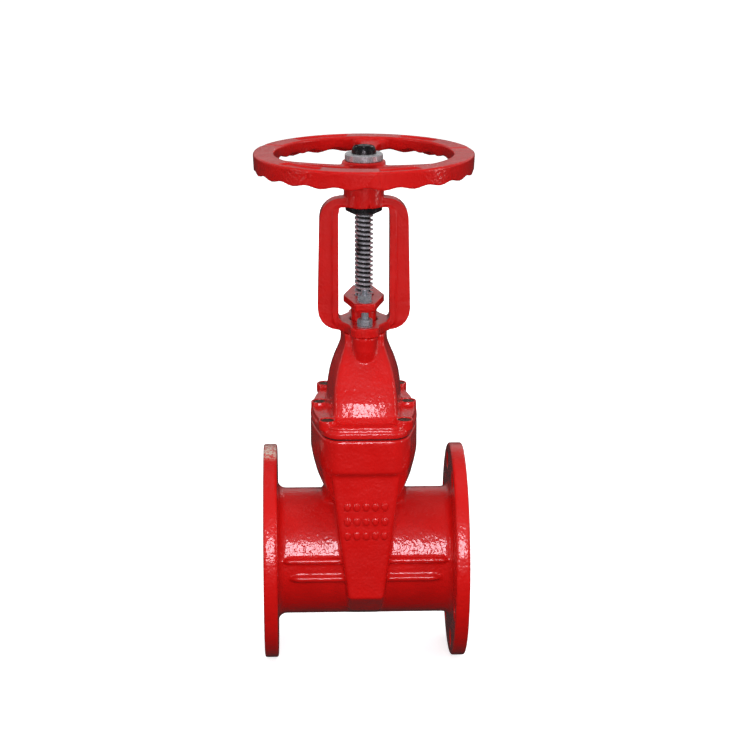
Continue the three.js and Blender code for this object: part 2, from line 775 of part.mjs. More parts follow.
// Rim of inverted U section whose lower edge waves for a better grip.
function wheelRim() {
  const inner = WHEEL_R - RIM_WIDE;
  const low = WHEEL_TOP - RIM_TALL;
  const web = WHEEL_TOP - 7;
  const section = [
    [WHEEL_R - 2, WHEEL_TOP, 0],
    [WHEEL_R, WHEEL_TOP - 2, 0],
    [WHEEL_R - 1, low, 1],
    [WHEEL_R - RIM_WALL, low, 1],
    [WHEEL_R - RIM_WALL - 1, web, 0],
    [inner + RIM_WALL + 1, web, 0],
    [inner + RIM_WALL, WHEEL_TOP - RIM_TALL_IN, 1],
    [inner + 1, WHEEL_TOP - RIM_TALL_IN, 1],
    [inner, WHEEL_TOP - 2, 0],
    [inner + 2, WHEEL_TOP, 0],
  ];
  const steps = RIM_LOBES * SEGMENTS_PER_LOBE;
  const count = section.length;
  const points = [];
  const index = [];
  for (let i = 0; i < steps; i++) {
    const angle = (i / steps) * 2 * Math.PI;
    const wave = LOBE_DEPTH * Math.cos(angle * RIM_LOBES);
    for (const [r, z, waves] of section)
      points.push(new THREE.Vector3(r * Math.cos(angle), r * Math.sin(angle), z - waves * wave));
    for (let k = 0; k < count; k++) {
      const next = ((i + 1) % steps) * count;
      const [a, b] = [i * count + k, i * count + ((k + 1) % count)];
      const [c, d] = [next + k, next + ((k + 1) % count)];
      index.push(a, b, c, b, d, c);
    }
  }
  const geometry = new THREE.BufferGeometry().setFromPoints(points);
  geometry.setIndex(index);
  return solid(geometry);
}

// Spoke that widens into the hub and the rim; stations are [radius, half width, low, high].
function spoke() {
  const stations = [
    [18, 14, 506, 524],
    [34, 11.5, 508, 525],
    [60, 9.5, 514, 528.5],
    [92, 10, 519, 533],
    [106, 15, 520.5, 535],
    [114, 24, 521, 536],
    [119, 30, 521, 536.5],
  ];
  return lofted(
    stations.map(([r, half, low, high]) => [
      new THREE.Vector3(r, -half, low + 2),
      new THREE.Vector3(r, -half + 4, low),
      new THREE.Vector3(r, half - 4, low),
      new THREE.Vector3(r, half, low + 2),
      new THREE.Vector3(r, half, high - 2),
      new THREE.Vector3(r, half - 3, high),
      new THREE.Vector3(r, -half + 3, high),
      new THREE.Vector3(r, -half, high - 2),
    ]),
  );
}

function handwheel() {
  const hub = turned([
    [0, HUB_LOW],
    [HUB_R - 3, HUB_LOW],
    [HUB_R, HUB_LOW + 3],
    [HUB_R, HUB_TOP - 1.5],
    [HUB_R - 1.5, HUB_TOP],
    [0, HUB_TOP],
  ]);
  const spokes = Array.from({ length: SPOKES }, (_, i) => {
    const angle = FIRST_SPOKE + (i / SPOKES) * 2 * Math.PI;
    return spoke().rotate([0, 0, THREE.MathUtils.radToDeg(angle)]);
  });
  const bore = rod(NUT_SEAT_R + GAP, 490, 550, ROUND);
  const slot = keyway(KEY_WIDE + 2 * GAP, 6 + GAP, HUB_LOW - 1, HUB_TOP + 1);
  return mesh("handwheel", cut(join(wheelRim(), hub, ...spokes), bore, slot), redPaint);
}

// ---------- the valve ----------

const numbered = SCREW_PLACES.map((place, i) => [i + 1, place]);
const fixed = new THREE.Group().add(
  body(),
  bonnetGasket(),
  bonnet(),
  ...numbered.map(([number, place]) => bonnetScrew(number, place)),
  ...numbered.map(([number, place]) => waxPlug(number, place)),
  backseatBush(),
  ...Array.from({ length: PACKING_RINGS }, (_, i) => packingRing(i + 1)),
  glandFlange(),
  yoke(),
  ...ends.map(stud),
  ...ends.flatMap(fastenersOf),
);
const rising = new THREE.Group().add(
  stem(),
  wedgeCore(),
  wedgeRubber(),
  wedgeNut(),
  ...ends.map(guideShoe),
);
const turning = new THREE.Group().add(
  stemNut(),
  ...thrustWashers(),
  wheelKey(),
  wheelLocknut(),
  handwheel(),
);

const valve = new THREE.Group().add(fixed, rising, turning);
valve.position.z = FLANGE_R;

export default valve;
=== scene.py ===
import math

import bmesh
import bpy
from mathutils import Matrix, Vector


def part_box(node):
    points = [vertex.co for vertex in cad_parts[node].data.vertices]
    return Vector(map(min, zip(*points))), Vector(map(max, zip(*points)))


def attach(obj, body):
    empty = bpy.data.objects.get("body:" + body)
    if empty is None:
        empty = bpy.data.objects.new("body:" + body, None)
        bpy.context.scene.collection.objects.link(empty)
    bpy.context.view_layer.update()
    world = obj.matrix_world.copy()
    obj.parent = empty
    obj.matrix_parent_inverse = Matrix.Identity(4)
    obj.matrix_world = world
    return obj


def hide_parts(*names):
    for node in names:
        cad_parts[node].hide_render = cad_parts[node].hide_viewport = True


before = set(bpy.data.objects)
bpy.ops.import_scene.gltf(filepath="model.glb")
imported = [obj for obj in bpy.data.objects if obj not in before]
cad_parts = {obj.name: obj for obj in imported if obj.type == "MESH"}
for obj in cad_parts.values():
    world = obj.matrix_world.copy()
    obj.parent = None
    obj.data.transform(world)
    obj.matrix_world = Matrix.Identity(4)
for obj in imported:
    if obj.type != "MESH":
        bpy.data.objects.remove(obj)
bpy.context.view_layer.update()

# ---------------------------------------------------------------------------------------
# Studio. A pale floor that takes no part in the lighting, a bright soft box in front that the
# glossy paint mirrors, weaker boxes on the other sides, and a sky that is bright only far
# behind the valve, which draws a pale line along the paint's upper edges.
# ---------------------------------------------------------------------------------------
floor_half, floor_white, floor_glow = 40.0, 0.93, 0.62
floor_shape = bmesh.new()
bmesh.ops.create_grid(floor_shape, x_segments=1, y_segments=1, size=floor_half)
floor_mesh = bpy.data.meshes.new("floor")
floor_shape.to_mesh(floor_mesh)
floor_shape.free()
floor = bpy.data.objects.new("floor", floor_mesh)
bpy.context.scene.collection.objects.link(floor)
floor.visible_glossy = False
floor.visible_diffuse = False
floor_paint = bpy.data.materials.new("floor_white")
floor_paint.use_nodes = True
floor_shader = floor_paint.node_tree.nodes["Principled BSDF"]
floor_shader.inputs["Base Color"].default_value = (floor_white,) * 3 + (1,)
floor_shader.inputs["Roughness"].default_value = 0.9
floor_shader.inputs["Specular IOR Level"].default_value = 0.0
floor_shader.inputs["Emission Color"].default_value = (1, 1, 1, 1)
floor_shader.inputs["Emission Strength"].default_value = floor_glow
floor_mesh.materials.append(floor_paint)

camera_place = Vector((-0.09214, -2.75974, 1.17675))
camera_pitch = math.radians(-15.9823)
camera_yaw = math.radians(-2.2204)
camera_roll = math.radians(0.1272)
camera_data = bpy.data.cameras.new("camera")
camera_data.sensor_width = 36
camera_data.lens = 104.92
camera_data.clip_end = 100
camera = bpy.data.objects.new("camera", camera_data)
camera.matrix_world = (
    Matrix.Translation(camera_place)
    @ Matrix.Rotation(camera_yaw, 4, "Z")
    @ Matrix.Rotation(math.radians(90) + camera_pitch, 4, "X")
    @ Matrix.Rotation(camera_roll, 4, "Z")
)
bpy.context.scene.collection.objects.link(camera)
bpy.context.scene.camera = camera


def soft_box(name, place, size, watts, colour=(1, 1, 1), mirrored=True):
    """A rectangular studio light of (width, height) metres, aimed at the valve. The camera
    never sees it, and the glossy pieces mirror it only where mirrored says so."""
    light = bpy.data.lights.new(name, "AREA")
    light.shape = "RECTANGLE"
    light.size, light.size_y = size
    light.energy = watts
    light.color = colour
    box = bpy.data.objects.new(name, light)
    place = Vector(place)
    aim = (place - valve_middle).to_track_quat("Z", "Y")
    box.matrix_world = Matrix.Translation(place) @ aim.to_matrix().to_4x4()
    box.visible_camera = False
    box.visible_glossy = mirrored
    bpy.context.scene.collection.objects.link(box)
    return box


valve_middle = Vector((0, 0, 0.35))
front_place, front_size = (0.0, -2.85, 1.32), (0.9, 1.0)
front_box = soft_box("front_box", front_place, front_size, 33, (1, 0.9, 1))
front_fill = soft_box("front_fill", front_place, front_size, 28, (1, 0.95, 1), mirrored=False)
soft_box("face_box", (0.0, -3.0, 0.75), (1.6, 0.6), watts=18, mirrored=False)
soft_box("left_front_box", (-2.1, -2.1, 0.9), (0.8, 0.8), watts=12, mirrored=False)
soft_box("right_front_box", (2.1, -2.1, 0.9), (0.8, 0.8), watts=16, mirrored=False)
soft_box("left_box", (-2.9, -1.0, 0.9), (0.4, 1.6), watts=5)
soft_box("right_box", (2.9, -0.6, 0.9), (0.4, 1.6), watts=9)
soft_box("rear_box", (0.6, 2.9, 1.6), (1.2, 0.8), watts=30, mirrored=False)
soft_box("top_box", (0.0, 0.3, 3.2), (1.4, 1.4), watts=30, mirrored=False)

world = bpy.data.worlds.new("studio")
bpy.context.scene.world = world
world.use_nodes = True
sky = world.node_tree.nodes["Background"]


def sky_node(kind, inputs, **settings):
    """Adds a node to the sky; an input takes a number or another node's output."""
    node = world.node_tree.nodes.new("ShaderNode" + kind)
    for setting, value in settings.items():
        setattr(node, setting, value)
    for place, value in inputs.items():
        if isinstance(value, bpy.types.NodeSocket):
            world.node_tree.links.new(value, node.inputs[place])
        else:
            node.inputs[place].default_value = value
    return node


def sky_ramp(value, start, stop, low, high):
    """Turns one of the sky's values smoothly from low to high between start and stop."""
    ends = {"From Min": start, "From Max": stop, "To Min": low, "To Max": high}
    ramp = sky_node("MapRange", {"Value": value, **ends}, interpolation_type="SMOOTHSTEP")
    return ramp.outputs["Result"]


facing = sky_node("SeparateXYZ", {0: sky_node("TexCoord", {}).outputs["Generated"]})
behind = sky_ramp(facing.outputs["Y"], start=-0.1, stop=0.6, low=0, high=0.34)
above_floor = sky_ramp(facing.outputs["Z"], start=0.0, stop=0.16, low=0.04, high=1)
under_top = sky_ramp(facing.outputs["Z"], start=0.25, stop=0.7, low=1, high=0.1)
wall = sky_node("Math", {0: behind, 1: above_floor}, operation="MULTIPLY").outputs[0]
wall = sky_node("Math", {0: wall, 1: under_top}, operation="MULTIPLY").outputs[0]
faint_all_round = 0.015
mirrored_sky = sky_node("Math", {0: wall, 1: faint_all_round}, operation="ADD").outputs[0]
lit_sky = sky_ramp(facing.outputs["Z"], start=-0.3, stop=0.5, low=0.02, high=0.5)
ray = sky_node("LightPath", {}).outputs
sky_strength = sky_node("Mix", {"Factor": ray["Is Glossy Ray"], "A": lit_sky, "B": mirrored_sky})
sky_strength = sky_node(
    "Mix", {"Factor": ray["Is Camera Ray"], "A": sky_strength.outputs["Result"], "B": 1.0}
)
world.node_tree.links.new(sky_strength.outputs["Result"], sky.inputs["Strength"])
sky.inputs["Color"].default_value = (1, 1, 1, 1)
bpy.context.scene.view_settings.view_transform = "Standard"

# ---------------------------------------------------------------------------------------
# Body. One ductile iron casting: a barrel with a drilled flange at each end, and across it
# the tapered pocket that the wedge slides in, opening at the top in a neck for the bonnet.
# Sand cast, machined on its faces and sprayed all over with glossy red epoxy paint.
# ---------------------------------------------------------------------------------------
MM = 0.001
body_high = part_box("body")[1]
flange_face = body_high.x
flange_radius = body_high.y
pipe_axis = flange_radius  # the valve stands on its flanges; castings are drawn from the axis


def turned(profile, steps=96):
    """A solid of revolution about Z from (radius, height) points in millimetres."""
    shape = bmesh.new()
    points = [shape.verts.new((radius * MM, 0, height * MM)) for radius, height in profile]
    edges = [shape.edges.new(pair) for pair in zip(points, points[1:])]
    bmesh.ops.spin(
        shape, geom=points + edges, axis=(0, 0, 1), angle=math.tau, steps=steps, use_merge=True
    )
    bmesh.ops.remove_doubles(shape, verts=shape.verts, dist=0.001 * MM)
    bmesh.ops.recalc_face_normals(shape, faces=shape.faces)
    return shape


def grown(corners, levels):
    """A solid grown upwards from an outline of (x, y, corner radius), in any unit. Levels are
    (height, scale of x, scale of y, shift of y), and the scales bring it to millimetres."""
    shape = bmesh.new()
    points = [shape.verts.new((x, y, 0)) for x, y, _ in corners]
    shape.faces.new(points)
    for point, (_, _, radius) in zip(points, corners):
        if radius:
            bmesh.ops.bevel(
                shape,
                geom=[point],
                offset=radius,
                offset_type="OFFSET",
                affect="VERTICES",
                segments=5,
                profile=0.5,
                material=-1,
            )
    (cap,) = shape.faces
    was = (0, 1, 1, 0)
    for step, level in enumerate(levels):
        height, wide, deep, shift = (*level, 0)[:4]
        if step:
            below = cap
            pulled_up = bmesh.ops.extrude_face_region(shape, geom=[below])["geom"]
            (cap,) = [part for part in pulled_up if isinstance(part, bmesh.types.BMFace)]
            if step > 1:
                bmesh.ops.delete(shape, geom=[below], context="FACES_ONLY")
        move = Matrix.Translation((0, shift, height)) @ Matrix.Diagonal(
            (wide / was[1], deep / was[2], 1, 1)
        )
        bmesh.ops.transform(
            shape, matrix=move @ Matrix.Translation((0, -was[3], -was[0])), verts=cap.verts
        )
        was = (height, wide, deep, shift)
    bmesh.ops.scale(shape, vec=(MM, MM, MM), verts=shape.verts)
    bmesh.ops.recalc_face_normals(shape, faces=shape.faces)
    return shape


def both_sides(half):
    """The same corners on both sides of the x = 0 line; half runs from front to rear."""
    return [*half, *((-x, y, radius) for x, y, radius in reversed(half))]


def rounded(shape, radius, chosen):
    """Rounds the edges that chosen picks, in millimetres."""
    bmesh.ops.bevel(
        shape,
        geom=[edge for edge in shape.edges if chosen(edge)],
        offset=radius * MM,
        offset_type="OFFSET",
        affect="EDGES",
        segments=4,
        profile=0.5,
        material=-1,
    )
    return shape


def upright(edge):
    """True for an edge that rises from one level of a grown solid to the next."""
    low, high = (vert.co.z for vert in edge.verts)
    return abs(high - low) > 0.1 * MM


def set_at(shape, x=0.0, y=0.0, z=0.0, turn=0.0, about="Z"):
    """Turns a shape by degrees about an axis through the origin, then moves it in millimetres."""
    matrix = Matrix.Translation((x * MM, y * MM, z * MM)) @ Matrix.Rotation(
        math.radians(turn), 4, about
    )
    bmesh.ops.transform(shape, matrix=matrix, verts=shape.verts)
    return shape


def rod(radius, low, high, x=0.0, y=0.0, steps=48):
    """A round bar about a line parallel to Z."""
    return set_at(turned([(0, low), (radius, low), (radius, high), (0, high)], steps), x, y)


square = [(-1, -1, 0), (1, -1, 0), (1, 1, 0), (-1, 1, 0)]


def block(x_half, y_half, low, high, x=0.0, y=0.0):
    """A square-edged block between two heights."""
    return set_at(grown(square, [(low, x_half, y_half), (high, x_half, y_half)]), x, y)


def as_object(name, shape, lift=0.0):
    """Puts a shape in the scene under a name, lifted by some metres."""
    bmesh.ops.translate(shape, vec=(0, 0, lift), verts=shape.verts)
    mesh = bpy.data.meshes.new(name)
    shape.to_mesh(mesh)
    shape.free()
    made = bpy.data.objects.new(name, mesh)
    bpy.context.scene.collection.objects.link(made)
    return made


def worked(made, tools=()):
    """Works an object's modifiers into its mesh and removes the tools that they used."""
    depsgraph = bpy.context.evaluated_depsgraph_get()
    mesh = bpy.data.meshes.new_from_object(made.evaluated_get(depsgraph))
    made.modifiers.clear()
    made.data = mesh
    for tool in tools:
        bpy.data.objects.remove(tool)
    return made


def cut_out(made, operation, shapes, lift=0.0):
    """Adds one boolean for each shape and returns the objects that it works with."""
    tools = []
    for shape in shapes:
        tool = as_object("tool", shape, lift)
        boolean = made.modifiers.new("boolean", "BOOLEAN")
        boolean.operation = operation
        boolean.solver = "EXACT"
        boolean.object = tool
        tools.append(tool)
    return tools


def cast(name, solids, hollows, grain, softening, kept=1.0):
    """One casting, drawn from the pipe's axis: solids run together, hollows are taken out, and
    the skin is drawn again in cells of the grain's size and softened, which rounds each edge
    and fills each inner corner. kept is the share of the faces left after thinning."""
    made = as_object(name, solids[0], pipe_axis)
    tools = cut_out(made, "UNION", solids[1:], pipe_axis)
    tools += cut_out(made, "DIFFERENCE", hollows, pipe_axis)
    skin = made.modifiers.new("skin", "REMESH")
    skin.mode = "VOXEL"
    skin.voxel_size = grain * MM
    soft = made.modifiers.new("soft", "SMOOTH")
    soft.factor = 0.5
    soft.iterations = softening
    if kept < 1:
        thin = made.modifiers.new("thin", "DECIMATE")
        thin.ratio = kept
    worked(made, tools)
    made.data.shade_smooth()
    return made


def material(name, colour, roughness, metallic=0.0, specular=0.5):
    """A material whose even values stand on its shader."""
    made = bpy.data.materials.new(name)
    made.use_nodes = True
    shader = made.node_tree.nodes["Principled BSDF"]
    shader.inputs["Base Color"].default_value = (*colour, 1)
    shader.inputs["Roughness"].default_value = roughness
    shader.inputs["Metallic"].default_value = metallic
    shader.inputs["Specular IOR Level"].default_value = specular
    return made


def add(made, kind, sockets, **settings):
    """Adds a shader node; a socket takes a number or another node's output."""
    node = made.node_tree.nodes.new("ShaderNode" + kind)
    for setting, value in settings.items():
        setattr(node, setting, value)
    for socket, value in sockets.items():
        if isinstance(value, bpy.types.NodeSocket):
            made.node_tree.links.new(value, node.inputs[socket])
        else:
            node.inputs[socket].default_value = value
    return node


def noise(made, size, detail=3.0, stretch=(1, 1, 1)):
    """Cloudy noise whose lumps are about size millimetres across."""
    where = add(made, "TexCoord", {}).outputs["Object"]
    placed = add(made, "Mapping", {"Vector": where, "Scale": stretch}).outputs["Vector"]
    texture = add(made, "TexNoise", {"Vector": placed, "Scale": 1 / (size * MM), "Detail": detail})
    return texture.outputs["Fac"]


def shaded(made, socket, height, stops):
    """Leads a texture through a ramp of (place, value or colour) stops to a shader's socket."""
    ramp = add(made, "ValToRGB", {"Fac": height})
    while len(ramp.color_ramp.elements) < len(stops):
        ramp.color_ramp.elements.new(1)
    for element, (place, value) in zip(ramp.color_ramp.elements, stops):
        element.position = place
        element.color = (*value, 1) if isinstance(value, tuple) else (value, value, value, 1)
    shader = made.node_tree.nodes["Principled BSDF"]
    made.node_tree.links.new(ramp.outputs["Color"], shader.inputs[socket])


def uneven(made, layers):
    """Bump from several textures; each layer is (height, depth in millimetres)."""
    normal = None
    for height, depth in layers:
        sockets = {"Height": height, "Distance": depth * MM, "Strength": 1.0}
        if normal:
            sockets["Normal"] = normal
        normal = add(made, "Bump", sockets).outputs["Normal"]
    shader = made.node_tree.nodes["Principled BSDF"]
    made.node_tree.links.new(normal, shader.inputs["Normal"])
    if shader.inputs["Coat Weight"].default_value:
        made.node_tree.links.new(normal, shader.inputs["Coat Normal"])


def red_epoxy(name, gloss, lumps, sand):
    """Red epoxy paint over a cast skin: gloss is the clear coat's share, and lumps and sand are
    the depths in millimetres of the skin's broad and fine unevenness."""
    dark_red, middle_red = (0.58, 0.005, 0.004), (0.62, 0.006, 0.005)
    pale_red = (0.65, 0.007, 0.006)
    paint = material(name, middle_red, 0.36, specular=0.4)
    shader = paint.node_tree.nodes["Principled BSDF"]
    shader.inputs["Coat Weight"].default_value = gloss
    shader.inputs["Coat Roughness"].default_value = 0.04
    shaded(paint, "Base Color", noise(paint, 60), [(0.3, dark_red), (0.7, pale_red)])
    shaded(paint, "Roughness", noise(paint, 25), [(0.35, 0.3), (0.7, 0.42)])
    uneven(paint, [(noise(paint, 13, 2), lumps), (noise(paint, 3.6, 1), sand)])
    return paint


red_paint = red_epoxy("red_epoxy_paint", gloss=1.0, lumps=0.9, sand=0.5)


def finished(made, body, slot, paint, *nodes):
    """Gives a piece its material and its moving body and hides the nodes it stands for; slot is
    not used.
    """
    made.data.materials.clear()
    made.data.materials.append(paint)
    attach(made, body)
    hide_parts(*nodes)
    return made


flange_end = flange_face / MM
flange_rim = flange_radius / MM
barrel_radius, bore_radius = 84, 75
flange_thick, flange_fillet = 19, 10
seal_band_radius, seal_band_height = 105.5, 0.5
flange_back = flange_end - flange_thick
flange_fillet_arc = [
    (
        barrel_radius + flange_fillet * (1 - math.sin(turn)),
        flange_back - flange_fillet * (1 - math.cos(turn)),
    )
    for turn in (math.radians(15 * step) for step in range(7))
]
flange_half = [
    (0, flange_end - seal_band_height),
    (flange_rim, flange_end - seal_band_height),
    (flange_rim, flange_back),
    *flange_fillet_arc,
]
barrel = turned([*flange_half, *((r, -x) for r, x in reversed(flange_half))], 160)
set_at(barrel, turn=90, about="Y")

pocket_levels = [
    (-79, 20.7, 30),
    (-64, 21.6, 60),
    (-32, 23.5, 100),
    (133, 44, 100),
    (150, 44, 100),
]
pocket_corner = 4
pocket = rounded(grown(square, pocket_levels), pocket_corner, upright)

seam_x, seam_y = 70, 108
# The outline of the seam, in shares of its half width and half depth.
seam_outline = both_sides(
    [
        (0.6, -1, 0.1),
        (0.8, -0.85, 0.1),
        (1, -0.22, 0.2),
        (1, 0.22, 0.2),
        (0.8, 0.85, 0.1),
        (0.6, 1, 0.1),
    ]
)
seam_height = body_high.z / MM - flange_rim
# The neck swells as it rises: height above the axis, half width and half depth at each level.
neck = grown(
    seam_outline,
    [
        (70, 36, 76),
        (94, 50, 90),
        (105, 57, 96),
        (119, 63, 98),
        (134, 67, 98),
        (142, 68.5, 106),
        (150, seam_x, 106.5),
        (seam_height, seam_x, seam_y),
    ],
)
neck_root = grown(seam_outline, [(76, 67, 34), (84, 58, 42), (91, 53, 50), (100, 51, 60)])

rib_middle, rib_slope = 85.5, 7
rib_rows = ((15.5, 108), (-9, 98))  # height above the axis, half the length
ribs = [
    set_at(
        grown(
            square,
            [
                (-reach, 1, 1.5),
                (rib_slope - reach, 3.5, 4),
                (reach - rib_slope, 3.5, 4),
                (reach, 1, 1.5),
            ],
        ),
        y=side * rib_middle,
        z=height,
        turn=90,
        about="Y",
    )
    for side in (-1, 1)
    for height, reach in rib_rows
]

hollow_top = 200
wedge_way = grown(
    square,
    [
        (0, 23.5, 75),
        (30, 24.2, 75),
        (60, 25, 80),
        (120, 26.5, 80),
        (120, 32, 80),
        (hollow_top, 32, 80),
    ],
)
guide_way = block(9.5, 88.5, -14, hollow_top)
bolt_circle, bolt_hole, bolt_count = 120, 11.5, 8
bolt_holes = [
    set_at(
        rod(bolt_hole, side * (flange_back - 1), side * (flange_end + 1), steps=32),
        y=bolt_circle * math.cos(angle),
        z=bolt_circle * math.sin(angle),
        turn=90,
        about="Y",
    )
    for side in (1, -1)
    for angle in (math.tau * (i + 0.5) / bolt_count for i in range(bolt_count))
]
bore_reach = 200
bore = set_at(rod(bore_radius, -bore_reach, bore_reach, steps=128), turn=90, about="Y")
body = cast(
    "valve_body",
    [barrel, pocket, neck, neck_root, *ribs],
    [bore, wedge_way, guide_way, *bolt_holes],
    grain=2.0,
    softening=6,
    kept=0.5,
)

# The body's own coat of the same paint has pale cream specks on top of the left flange: paint
# chipped to its primer, and a painted highlight where the top light is mirrored on the flange's
# top.
body_paint = red_epoxy("red_epoxy_paint_body", gloss=1.0, lumps=0.9, sand=0.5)
place = add(body_paint, "TexCoord", {}).outputs["Object"]
place = add(body_paint, "SeparateXYZ", {0: place}).outputs
flange_top, speck_reach, speck_size = 2 * flange_rim, 5, 2.6
chips_and_highlight = 1.0
for value, start, stop in (
    (place["Z"], (flange_top - speck_reach) * MM, (flange_top - 1) * MM),
    (place["X"], -flange_back * MM, -(flange_back + 1) * MM),
    (noise(body_paint, speck_size), 0.46, 0.54),
):
    share = add(body_paint, "MapRange", {"Value": value, "From Min": start, "From Max": stop})
    share = {0: chips_and_highlight, 1: share.outputs["Result"]}
    chips_and_highlight = add(body_paint, "Math", share, operation="MULTIPLY").outputs[0]
body_shader = body_paint.node_tree.nodes["Principled BSDF"]
unspecked_red = body_shader.inputs["Base Color"].links[0].from_socket
# Painted highlight: the pale specks on the flange top stand partly for the top light mirrored in
# the paint there.
share_in, colour_a, colour_b, colour_out = 0, 6, 7, 2
primer_and_highlight = {share_in: chips_and_highlight, colour_a: unspecked_red, colour_b: (0.7, 0.6, 0.48, 1)}
chipped_and_highlit = add(body_paint, "Mix", primer_and_highlight, data_type="RGBA").outputs[colour_out]
body_paint.node_tree.links.new(chipped_and_highlit, body_shader.inputs["Base Color"])
finished(body, "valve", "body_paint", body_paint, "body")

# ---------------------------------------------------------------------------------------
# Sealing bands. The raised ring on each flange face that the pipe's gasket bears on, turned
# with fine round grooves in the casting and painted over with it.
# ---------------------------------------------------------------------------------------
groove_pitch, groove_depth, grooves = 3.0, 0.4, 9
land_end, groove_bottom = 0.6 * groove_pitch, 0.8 * groove_pitch
band_low, band_inner, band_chamfer = flange_end - seal_band_height - 1, bore_radius + 0.5, 0.5
band_profile = [(band_inner, band_low), (band_inner, flange_end - band_chamfer)]
for number in range(grooves):
    radius = bore_radius + 1 + groove_pitch * number
    band_profile += [
        (radius, flange_end),
        (radius + land_end, flange_end),
        (radius + groove_bottom, flange_end - groove_depth),
    ]
band_profile += [
    (seal_band_radius - band_chamfer, flange_end),
    (seal_band_radius, flange_end - band_chamfer),
    (seal_band_radius, band_low),
    (band_inner, band_low),
]


def crisp(made, angle):
    """Shades a piece smooth but for the edges that turn by more than some degrees."""
    made.data.shade_smooth()
    made.data.set_sharp_from_angle(angle=math.radians(angle))
    return made


for end, side in (("left", -1), ("right", 1)):
    band = set_at(turned(band_profile, 128), turn=side * 90, about="Y")
    sealing_band = crisp(as_object(f"sealing_band_{end}", band, pipe_axis), 25)
    finished(sealing_band, "valve", "body_paint", red_paint)

# ---------------------------------------------------------------------------------------
# Casting marks. Three rows of plain raised pips low on the pocket's front face, where a
# foundry puts its marks; they are cast with the body and carry no letters.
# ---------------------------------------------------------------------------------------
mark_face, mark_pitch, marks_in_row, mark_rows = 100, 12, 5, (95, 75, 55.5)


def round_outline(corners, radius=1.0):
    """Evenly spaced corners on a circle, as an outline for grown."""
    turns = (math.tau * i / corners for i in range(corners))
    return [(radius * math.cos(turn), radius * math.sin(turn), 0) for turn in turns]


pip_outline = round_outline(16)
pip_levels = [(-1.5, 4.6, 6.6), (0.2, 4.6, 6.6), (1.4, 4, 5.8), (2.2, 2.8, 4.2), (2.6, 1.2, 1.8)]
marks = bmesh.new()
for row_height in mark_rows:
    for number in range(marks_in_row):
        across = (number - (marks_in_row - 1) / 2) * mark_pitch
        pip = set_at(grown(pip_outline, pip_levels), turn=90, about="X")
        set_at(pip, across, -mark_face, row_height)
        one_mark = bpy.data.meshes.new("mark")
        pip.to_mesh(one_mark)
        pip.free()
        marks.from_mesh(one_mark)
        bpy.data.meshes.remove(one_mark)
casting_marks = as_object("casting_marks", marks, pipe_axis)
casting_marks.data.shade_smooth()
finished(casting_marks, "valve", "body_paint", red_paint)

# ---------------------------------------------------------------------------------------
# Bonnet gasket. A thin black rubber sheet cut a little smaller than the seam, so that it
# shows as a dark line between the body and the bonnet.
# ---------------------------------------------------------------------------------------


def heights(node):
    """The lowest and highest level of a CAD node, in millimetres above the pipe's axis."""
    return [(corner.z - pipe_axis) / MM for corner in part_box(node)]


gasket_inset = 2
gasket_x, gasket_y = seam_x - gasket_inset, seam_y - gasket_inset
gasket_sheet = grown(
    seam_outline, [(height, gasket_x, gasket_y) for height in heights("bonnet_gasket")]
)
gasket = as_object("seam_gasket", gasket_sheet, pipe_axis)
gasket_opening = block(33, 91, 150, 220)
worked(gasket, cut_out(gasket, "DIFFERENCE", [gasket_opening], pipe_axis))
black_rubber = material("black_rubber", (0.012, 0.012, 0.012), 0.6)
uneven(black_rubber, [(noise(black_rubber, 1.5), 0.05)])
shaded(black_rubber, "Roughness", noise(black_rubber, 8), [(0.3, 0.5), (0.7, 0.7)])
finished(gasket, "valve", "gasket_rubber", black_rubber, "bonnet_gasket")

# ---------------------------------------------------------------------------------------
# Bonnet. A second red casting, bolted on the neck: a stepped flange with six screw bosses,
# a tall hood over the raised wedge, and two stud bosses beside the stuffing box on its top.
# ---------------------------------------------------------------------------------------
bonnet_low, bonnet_top = heights("bonnet")
corner_screw_x, corner_screw_y, middle_screw_x = 49.5, 85, 58
screw_places = [
    (side * (corner_screw_x if y else middle_screw_x), y)
    for y in (-corner_screw_y, 0, corner_screw_y)
    for side in (-1, 1)
]
lip_top, plate_top, plate_inset = 196, 203.5, 2.5
lip = grown(seam_outline, [(bonnet_low, seam_x, seam_y), (lip_top, seam_x, seam_y)])
plate_x, plate_y = seam_x - plate_inset, seam_y - plate_inset
plate = grown(seam_outline, [(lip_top - 1, plate_x, plate_y), (plate_top, plate_x, plate_y)])
hood_outline = both_sides(
    [
        (0.4, -1, 0.2),
        (0.82, -0.955, 0.1),
        (1, -0.15, 0.3),
        (1, 0.15, 0.3),
        (0.82, 0.955, 0.1),
        (0.4, 1, 0.2),
    ]
)
# The hood narrows in a curve from the plate to the stuffing box, by the same three measures.
hood = grown(
    hood_outline,
    [
        (198, 56, 95),
        (203.5, 53.5, 91),
        (206, 51.5, 86.5),
        (209, 50.3, 83.5),
        (218, 49.5, 80.3),
        (227, 49, 77.2),
        (238, 47.9, 71),
        (250, 46, 63.5),
        (260, 43.4, 57),
        (270, 40, 51),
        (284, 34, 42),
        (292, 31.2, 37.5),
        (298, 30.5, 35.5),
        (bonnet_top, 30.5, 35),
    ],
)
boss_radius, boss_top, counterbore = 11.5, 209, 8.8
bosses = [rod(boss_radius, lip_top, boss_top, x, y, 32) for x, y in screw_places]
stud_line = (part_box("stud_rear")[1].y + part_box("stud_rear")[0].y) / 2 / MM
stud_bosses = [
    grown(
        round_outline(32),
        [
            (257, 5, 6, 33 * side),
            (264, 9.5, 9, 35 * side),
            (275, 12.5, 12, 38 * side),
            (288, 15.5, 15.5, 41 * side),
            (bonnet_top, 17, 17, stud_line * side),
        ],
    )
    for side in (-1, 1)
]
stem_radius, stem_gap = 12, 0.6
box_radius, box_floor = 17.2, 274
